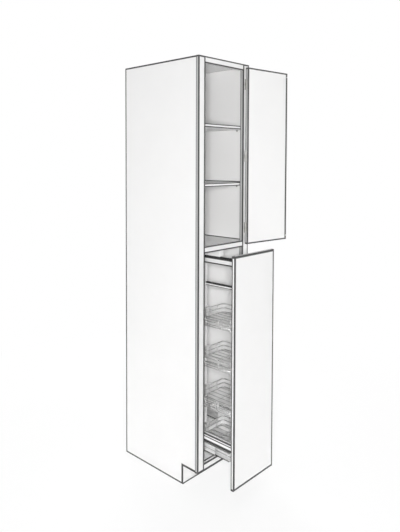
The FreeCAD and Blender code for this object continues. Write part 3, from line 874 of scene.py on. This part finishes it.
def coated_rail(node, height, seamed):
    """White coat with an outline on the upper part of a node, as high as the rail is. On a seamed node
    the lines are on the outer face alone, which is painted dark below the rail as painted shade."""
    material, point = begin(f"white_metal_{node}")
    low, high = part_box(node)
    foot = Vector((low.x, low.y, high.z - height))
    colour = dusted(point, coat_white, coat_dust)
    line = edge_line(face_distances(local(point, (foot + high) / 2, 0.0), (high - foot) / 2))
    if seamed:
        z = point.axis("Z")
        inner_face = min(abs(low.x), abs(high.x))
        outside = 1 - abs(point.axis("X")).fade(inner_face, inner_face + plate_middle)
        below = z.fade(foot.z - soft_step, foot.z + soft_step)
        line = line.most(ruled(abs(z - (high.z - band_drop)), band_line)) * outside * (1 - below)
        # Painted shade: the outer face of the plate is dark below the rail.
        colour = (outside * below).tint(colour, dark_coat_and_shade)
    end_coat(point, line.tint(colour, outline_grey))
    dress(node, material)


guide_low, guide_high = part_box("guide_rail")
coated_rail("guide_rail", guide_high.z - guide_low.z, False)
for side in ("left", "right"):
    coated_rail(f"carriage_{side}_side", rail_height, True)
print("outlined rails:", count_finishes("white_metal_"))

# %% [markdown]
# ## Easing the boards' edges
# No sawn board has a knife edge: it is sanded until it no longer cuts a finger. A Bevel modifier
# does that without touching the solid. The solids come as loose triangles, so they are first welded,
# and the triangles of each flat face are merged, or the bevel would follow every triangle.

# %% Eased edges
ease_radius, ease_segments = 0.0006, 2
weld_reach = 1e-5
flat_angle, sharp_angle = math.radians(1), math.radians(40)
plain_boards = ["left_stile", "right_stile", "top_rail", "middle_rail", "bottom_rail", "toe_kick_board",
                "upper_shelf", "lower_shelf", "top_nailer", "middle_nailer", "bottom_nailer",
                "left_slide_spacer", "right_slide_spacer", "top_track_spacer"]


def eased(node):
    board = nodes[node]
    weld = board.modifiers.new("weld", "WELD")
    weld.merge_threshold = weld_reach
    flat = board.modifiers.new("flat", "DECIMATE")
    flat.decimate_type = "DISSOLVE"
    flat.angle_limit = flat_angle
    ease = board.modifiers.new("ease", "BEVEL")
    ease.width = ease_radius
    ease.segments = ease_segments
    ease.limit_method = "ANGLE"
    ease.angle_limit = sharp_angle


for board in plain_boards:
    eased(board)
print("eased boards:", len(plain_boards))

# %% [markdown]
# ## Setting a shape in place
# The rim of a wire, a screw head and a button all start at the origin and face up. Each is then turned
# to the way that it should face and moved to its place. Euler angles would have to be worked out for
# each direction, and a tracking quaternion turns Z to any heading. The operators of bmesh hand back
# vertices, edges and faces in one list, so two more helpers pick out what the next step needs.

# %% Helpers for new shapes
up, right, back = Vector((0, 0, 1)), Vector((1, 0, 0)), Vector((0, 1, 0))


def set_towards(place, heading):
    """A matrix that turns Z to a heading and moves the origin to a place."""
    return Matrix.Translation(place) @ Vector(heading).to_track_quat("Z", "Y").to_matrix().to_4x4()


def verts_in(geometry):
    return [item for item in geometry if isinstance(item, bmesh.types.BMVert)]


def rim_in(geometry):
    """The edges that join the vertices of some geometry to each other."""
    tips = set(verts_in(geometry))
    edges = [item for item in geometry if isinstance(item, bmesh.types.BMEdge)]
    return [edge for edge in edges if tips.issuperset(edge.verts)]


print("up, set to the right:", [round(v, 3) for v in set_towards((0, 0, 0), right) @ up])

# %% [markdown]
# ## Bending wire
# A wire basket is made by feeding straight wire and bending it round a former. The same two moves
# make the mesh: a circle is extruded along its heading, or spun about a centre beside it. Curves with
# a round bevel would also do, but this way each bend has the former's radius, and each wire can be
# closed into a tube.

# %% A wire that is fed and bent
wire_sides = 12
bend_steps, right_angle = 6, math.pi / 2
ring_wire, thin_wire = 0.005, 0.004
ring_corner = 0.018


class Wire:
    """The end of a wire in a mesh: where it is, where it heads, and its open rim."""

    def __init__(self, mesh, place, heading, diameter):
        self.mesh, self.place, self.heading = mesh, Vector(place), Vector(heading)
        made = bmesh.ops.create_circle(mesh, segments=wire_sides, radius=diameter / 2,
                                       matrix=set_towards(place, heading))
        self.rim = list(dict.fromkeys(edge for vertex in made["verts"] for edge in vertex.link_edges))

    def feed(self, length):
        """Push straight wire out."""
        made = bmesh.ops.extrude_edge_only(self.mesh, edges=self.rim)["geom"]
        bmesh.ops.translate(self.mesh, verts=verts_in(made), vec=self.heading * length)
        self.rim = rim_in(made)
        self.place += self.heading * length
        return self

    def bend(self, axis, radius):
        """Bend the wire by a right angle round a former."""
        former = self.place + radius * axis.cross(self.heading)
        tips = list(dict.fromkeys(vertex for edge in self.rim for vertex in edge.verts))
        made = bmesh.ops.spin(self.mesh, geom=self.rim + tips, cent=former, axis=axis,
                              dvec=(0, 0, 0), angle=right_angle, steps=bend_steps)["geom_last"]
        self.rim = rim_in(made)
        turn = Matrix.Rotation(right_angle, 3, axis)
        self.place = former + turn @ (self.place - former)
        self.heading = turn @ self.heading
        return self


trial = bmesh.new()
hook = Wire(trial, (0, 0, 0), right, thin_wire).bend(up, ring_corner).bend(up, ring_corner)
print("a trial hook ends at", [round(v, 3) for v in hook.place], "with", len(trial.faces), "faces")
trial.free()

# %% [markdown]
# ## Rings and upturned wires
# A basket has only two bent shapes. A ring runs round its four sides and meets its own start. An upturned
# wire lies flat and has both ends bent up, so that the rings have uprights to be welded to. Both could
# be copied from one drawing and scaled, but that would squash the corners. Fed and bent to length, they
# keep the radius of the former.

# %% Rings and upturned wires
upturn_radius = 0.010


def closed_ring(mesh, low, high, z):
    inset = ring_wire / 2
    radius = ring_corner - inset
    width, depth = high.x - low.x - 2 * ring_corner, high.y - low.y - 2 * ring_corner
    wire = Wire(mesh, (low.x + ring_corner, low.y + inset, z), right, ring_wire)
    for length in (width, depth, width, depth):
        wire.feed(length).bend(up, radius)


def upturned(mesh, start, heading, span, top):
    """A wire that lies along a heading, with both ends bent up to a height."""
    axis = heading.cross(up)
    rise = top - start.z - upturn_radius
    wire = Wire(mesh, start + up * (rise + upturn_radius), -up, thin_wire)
    wire.feed(rise).bend(axis, upturn_radius).feed(span - 2 * upturn_radius)
    wire.bend(axis, upturn_radius).feed(rise)


print("rings have corners of", 1000 * ring_corner, "mm, upturns of", 1000 * upturn_radius, "mm")

# %% [markdown]
# ## Four wire baskets
# Each basket has three closed rings, floor wires from front to rear, and two wires that cross under
# the floor and turn up at the sides. The second floor wire from each side turns up at both ends, so
# that every side has uprights for its rings. Where wires meet they sink a little into each other, as
# a spot weld leaves them. Each wire is a tube of its own: joining them into one skin would round off
# the crossings, which are sharp on a real basket.

# %% The wires of a basket
ring_count, ring_step = 3, 0.0254
floor_pairs, floor_step = 3, 0.040
cross_shares = (1 / 3, 2 / 3)
weld_sink = 0.0003


def basket_wires(mesh, low, high):
    """All wires of a basket that fills a box."""
    top = high.z - ring_wire / 2
    floor_z = top - (ring_count - 1) * ring_step
    for level in range(ring_count):
        closed_ring(mesh, low, high, top - level * ring_step)
    lean = ring_wire + thin_wire / 2 - weld_sink
    width, depth = high.x - low.x, high.y - low.y
    for index in range(-floor_pairs, floor_pairs + 1):
        x = index * floor_step
        if abs(index) == floor_pairs - 1:
            start = Vector((x, low.y + lean, floor_z))
            upturned(mesh, start, back, depth - 2 * lean, high.z - weld_sink)
        else:
            start = Vector((x, low.y + ring_wire / 2, floor_z))
            Wire(mesh, start, back, thin_wire).feed(depth - ring_wire)
    for share in cross_shares:
        start = Vector((low.x + lean, low.y + share * depth, floor_z - thin_wire + weld_sink))
        upturned(mesh, start, right, width - 2 * lean, high.z - weld_sink)


print("rings", ring_count, "and floor wires", 2 * floor_pairs + 1)

# %% [markdown]
# ## Closing the tubes
# A ring ends where it began, so merging doubles closes it. The cut ends of the other wires get a flat
# cap each. A tube's sides are shaded smooth and its caps flat, as on cut wire. The finished mesh then
# becomes a piece: it rides on the pull-out, and it replaces the plainer basket of the solids.

# %% The baskets
basket_count, ring_join = 4, 1e-5


def add_piece(name, mesh, material, body, slot, *replaced):
    """Turn a bmesh into a piece that rides on a body."""
    data = bpy.data.meshes.new(name)
    mesh.to_mesh(data)
    mesh.free()
    data.materials.append(material)
    piece = bpy.data.objects.new(name, data)
    scene.collection.objects.link(piece)
    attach(piece, body)
    if replaced:
        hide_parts(*replaced)
    print(name, "has", len(data.polygons), "faces")


def wire_basket(number):
    mesh = bmesh.new()
    basket_wires(mesh, *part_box(f"basket_{number}"))
    bmesh.ops.remove_doubles(mesh, verts=mesh.verts, dist=ring_join)
    bmesh.ops.holes_fill(mesh, edges=[edge for edge in mesh.edges if edge.is_boundary], sides=wire_sides)
    bmesh.ops.recalc_face_normals(mesh, faces=mesh.faces)
    for face in mesh.faces:
        face.smooth = len(face.verts) != wire_sides
    add_piece(f"wire_basket_{number}", mesh, wire_plate, "pull_out", "chrome_wire", f"basket_{number}")


for number in range(1, basket_count + 1):
    wire_basket(number)

# %% [markdown]
# ## Screw heads
# A cross-head screw is a low cone with a plus-shaped recess. A plus has twelve corners, and so has a
# twelve-sided cone: the top face is inset, its four diagonal corners are drawn in, and the plus is
# pushed down. A Boolean could cut the recess, but it leaves slivers, and moved corners don't. Each head
# is shaped at the origin and then set where a fitting needs it.

# %% One screw head
head_sides = 12
crown_share, rim_share = 0.8, 0.3
recess_share, drawn_in = 0.8, Vector((0.42, 0.42, 1.0))
diagonal, diagonal_reach = 45, 10
trial_width, trial_rise = 0.007, 0.002


def screw_head(mesh, place, facing, diameter, rise):
    """Add a head that stands on a surface at place and faces away from it."""
    radius = diameter / 2
    made = bmesh.ops.create_cone(mesh, cap_ends=True, segments=head_sides, radius1=radius,
                                 radius2=crown_share * radius, depth=rise,
                                 matrix=Matrix.Rotation(math.pi / head_sides, 4, "Z"))
    verts = made["verts"]
    bmesh.ops.translate(mesh, verts=verts, vec=(0, 0, rise / 2))
    faces = {face for vertex in verts for face in vertex.link_faces}
    top = max(faces, key=lambda face: face.calc_center_median().z)
    inset = bmesh.ops.inset_region(mesh, faces=[top], thickness=rim_share * radius)["faces"]
    for vertex in top.verts:
        quarter = math.degrees(math.atan2(vertex.co.y, vertex.co.x)) % (2 * diagonal)
        if abs(quarter - diagonal) < diagonal_reach:
            vertex.co *= drawn_in
    bmesh.ops.translate(mesh, verts=list(top.verts), vec=(0, 0, -recess_share * rise))
    whole = {vertex for face in faces | set(inset) for vertex in face.verts}
    bmesh.ops.transform(mesh, matrix=set_towards(place, facing), verts=list(whole))


trial = bmesh.new()
screw_head(trial, (0, 0, 0), up, trial_width, trial_rise)
print("a screw head has", len(trial.faces), "faces")
trial.free()

# %% [markdown]
# ## Solids that share a node
# The leaves of the three hinges are one node, and so are the brackets, the pins and the bumpers. A
# fastener needs the box of each solid. Separating the solids would change the node, so only a copy of
# its mesh is read. There the doubles are merged, and one vertex after another collects those that
# edges join to it, until none is left over.

# %% Boxes of the separate solids
same_point = 1e-6


def islands(node, turn=Matrix.Identity(4)):
    """The boxes of a node's separate solids, from the lowest up."""
    copy = bmesh.new()
    copy.from_mesh(nodes[node].data)
    bmesh.ops.transform(copy, matrix=turn, verts=copy.verts)
    bmesh.ops.remove_doubles(copy, verts=copy.verts, dist=same_point)
    waiting = set(copy.verts)
    found = []
    while waiting:
        group, frontier = set(), [waiting.pop()]
        while frontier:
            vertex = frontier.pop()
            group.add(vertex)
            near = [edge.other_vert(vertex) for edge in vertex.link_edges]
            frontier += [other for other in near if other in waiting]
            waiting.difference_update(near)
        found.append(corners([v.co for v in group]))
    copy.free()
    return sorted(found, key=lambda box: [round(box[0][axis], 4) for axis in (2, 0, 1)])


print("hinges:", len(islands("hinge_pins")), "brackets:", len(islands("front_brackets")))

# %% [markdown]
# ## Screws in the hinges
# Each frame leaf has three screws in its plate, and each door leaf two, above and below the knuckle.
# Real ones are sunk into the leaf. The solids stay as they are, so these stand on it, but only by about
# a third of a millimetre, because the open door passes close. The door's screws are set as on a shut
# door and then swung out with it.

# %% Hinge screws
frame_screw, frame_flush = 0.0062, 0.00035
door_screw, door_flush = 0.0052, 0.0003
leaf_thickness, leaf_end = 0.0015, 0.0107
plate_offset, plate_zigzag, door_zigzag = 0.013, 0.003, 0.0038
frame_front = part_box("left_stile")[0].y

mesh = bmesh.new()
for low, high in islands("hinge_frame_leaves"):
    rows = ((low.z + leaf_end, plate_zigzag), ((low.z + high.z) / 2, -plate_zigzag),
            (high.z - leaf_end, plate_zigzag))
    for z, shift in rows:
        place = (hinge_line.x + plate_offset + shift, frame_front - leaf_thickness, z)
        screw_head(mesh, place, -back, frame_screw, frame_flush)
add_piece("frame_leaf_screws", mesh, nickel, "carcass", "nickel")

mesh = bmesh.new()
for low, high in islands("hinge_door_leaves", shut):
    for z, shift in ((low.z + leaf_end, door_zigzag), (high.z - leaf_end, -door_zigzag)):
        place = (low.x + leaf_thickness, hinge_line.y + shift, z)
        screw_head(mesh, place, right, door_screw, door_flush)
bmesh.ops.transform(mesh, matrix=swung, verts=mesh.verts)
add_piece("door_leaf_screws", mesh, nickel, "upper_door", "nickel")

# %% [markdown]
# ## Tips of the hinge pins
# A hinge pin ends in a small button that keeps dust out of the barrel. A flattened sphere would be
# half hidden in the barrel. Here half of a button's outline, the flat underside and then the crown, is
# spun round the pin's line.

# %% Pin tips
tip_radius, tip_rise = 0.0040, 0.0022
crown_steps, button_sides = 5, 16


def button(mesh, place, facing, radius, rise):
    """A low dome on a surface, spun from its outline."""
    turns = [math.pi / 2 * step / crown_steps for step in range(crown_steps + 1)]
    crown = [mesh.verts.new((radius * math.cos(turn), 0, rise * math.sin(turn))) for turn in turns]
    chain = [mesh.verts.new((0, 0, 0))] + crown
    edges = [mesh.edges.new(pair) for pair in zip(chain, chain[1:])]
    before = set(mesh.verts) - set(chain)
    bmesh.ops.spin(mesh, geom=chain + edges, cent=(0, 0, 0), axis=(0, 0, 1), dvec=(0, 0, 0),
                   angle=2 * math.pi, steps=button_sides, use_merge=True)
    fresh = [vertex for vertex in mesh.verts if vertex not in before]
    bmesh.ops.remove_doubles(mesh, verts=fresh, dist=same_point)
    fresh = [vertex for vertex in mesh.verts if vertex not in before]
    faces = list({face for vertex in fresh for face in vertex.link_faces})
    bmesh.ops.recalc_face_normals(mesh, faces=faces)
    for face in faces:
        face.smooth = True
    bmesh.ops.transform(mesh, matrix=set_towards(place, facing), verts=fresh)


mesh = bmesh.new()
for low, high in islands("hinge_pins"):
    button(mesh, (hinge_line.x, hinge_line.y, high.z), up, tip_radius, tip_rise)
    button(mesh, (hinge_line.x, hinge_line.y, low.z), -up, tip_radius, tip_rise)
add_piece("hinge_pin_tips", mesh, nickel, "carcass", "nickel")

# %% [markdown]
# ## Bumper dots
# Soft dots on the doors' backs take the knock of closing. They are low domes of cast rubber, clear but
# slightly cloudy. See-through rubber shows little at this size, so a pale cloudy gloss stands in for
# it. The solids have square pads in the same places, and the dots replace them.

# %% Bumpers
clear_tone, cloudy_tone = grey(0.82, 0.006), grey(0.70, 0.012)
cast_scale, cast_detail = 300.0, 3.0
cast_depth, cast_strength = 0.00005, 0.2
rubber_rough, rubber_index = (0.20, 0.36), 1.42


def bumper_dots(name, pads, body, turn=Matrix.Identity(4)):
    mesh = bmesh.new()
    for low, high in islands(pads, turn.inverted()):
        foot = Vector(((low.x + high.x) / 2, low.y, (low.z + high.z) / 2))
        button(mesh, foot, back, (high.x - low.x) / 2, high.y - low.y)
    bmesh.ops.transform(mesh, matrix=turn, verts=mesh.verts)
    add_piece(name, mesh, rubber, body, "clear_rubber", pads)


rubber, point = begin("clear_rubber")
cast = noise(point, cast_scale, cast_detail)
end(point, {"Base Color": cast.tint(clear_tone, cloudy_tone), "Roughness": cast.between(*rubber_rough),
            "Normal": bumps(cast, cast_depth, cast_strength), "IOR": rubber_index})
bumper_dots("door_bumper_dots", "upper_door_bumpers", "upper_door", swung)
bumper_dots("front_bumper_dots", "pull_out_bumpers", "pull_out")

# %% [markdown]
# ## Screws in the pull-out
# The saddles on the front's back are held by four screws each, two in either flange, and the corner
# angles by two. The inner slides are screwed to the carriage through their webs. The places could be
# typed in, but worked out from the fittings' boxes they follow when a fitting changes.

# %% Screws of the pull-out
saddle_screw, saddle_rise = 0.0075, 0.0018
slide_screw, slide_rise = 0.0080, 0.0020
bracket_sheet, saddle_width, flange_inset, angle_shift = 0.002, 0.05, 0.011, 0.002
web_lift, web_shares = 0.003, (0.06, 0.30, 0.62, 0.94)

mesh = bmesh.new()
plate_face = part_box("front_brackets")[0].y + bracket_sheet
for low, high in islands("front_brackets"):
    middle_x, middle_z = (low.x + high.x) / 2, (low.z + high.z) / 2
    lift = (high.z - low.z) / 4
    columns = [middle_x + math.copysign(angle_shift, -middle_x)]
    if high.x - low.x > saddle_width:
        columns = [low.x + flange_inset, high.x - flange_inset]
    for x in columns:
        for z in (middle_z - lift, middle_z + lift):
            screw_head(mesh, (x, plate_face, z), back, saddle_screw, saddle_rise)
add_piece("bracket_screws", mesh, zinc, "pull_out", "zinc")

mesh = bmesh.new()
for side, outward in (("left", -right), ("right", right)):
    low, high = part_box(f"{side}_slide_inner")
    web_x = (high.x if outward.x < 0 else low.x) + outward.x * web_lift
    for share in web_shares:
        place = (web_x, low.y + share * (high.y - low.y), (low.z + high.z) / 2)
        screw_head(mesh, place, outward, slide_screw, slide_rise)
add_piece("slide_screws", mesh, zinc, "pull_out", "zinc")

# %% [markdown]
# ## Measuring
# The dressed cabinet has to stay inside the box of its solids. Its box is printed, as the box of the
# solids was at the start.

# %% Boxes, and the end
low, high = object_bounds()
print("dressed box", [round(v, 4) for v in low], [round(v, 4) for v in high])
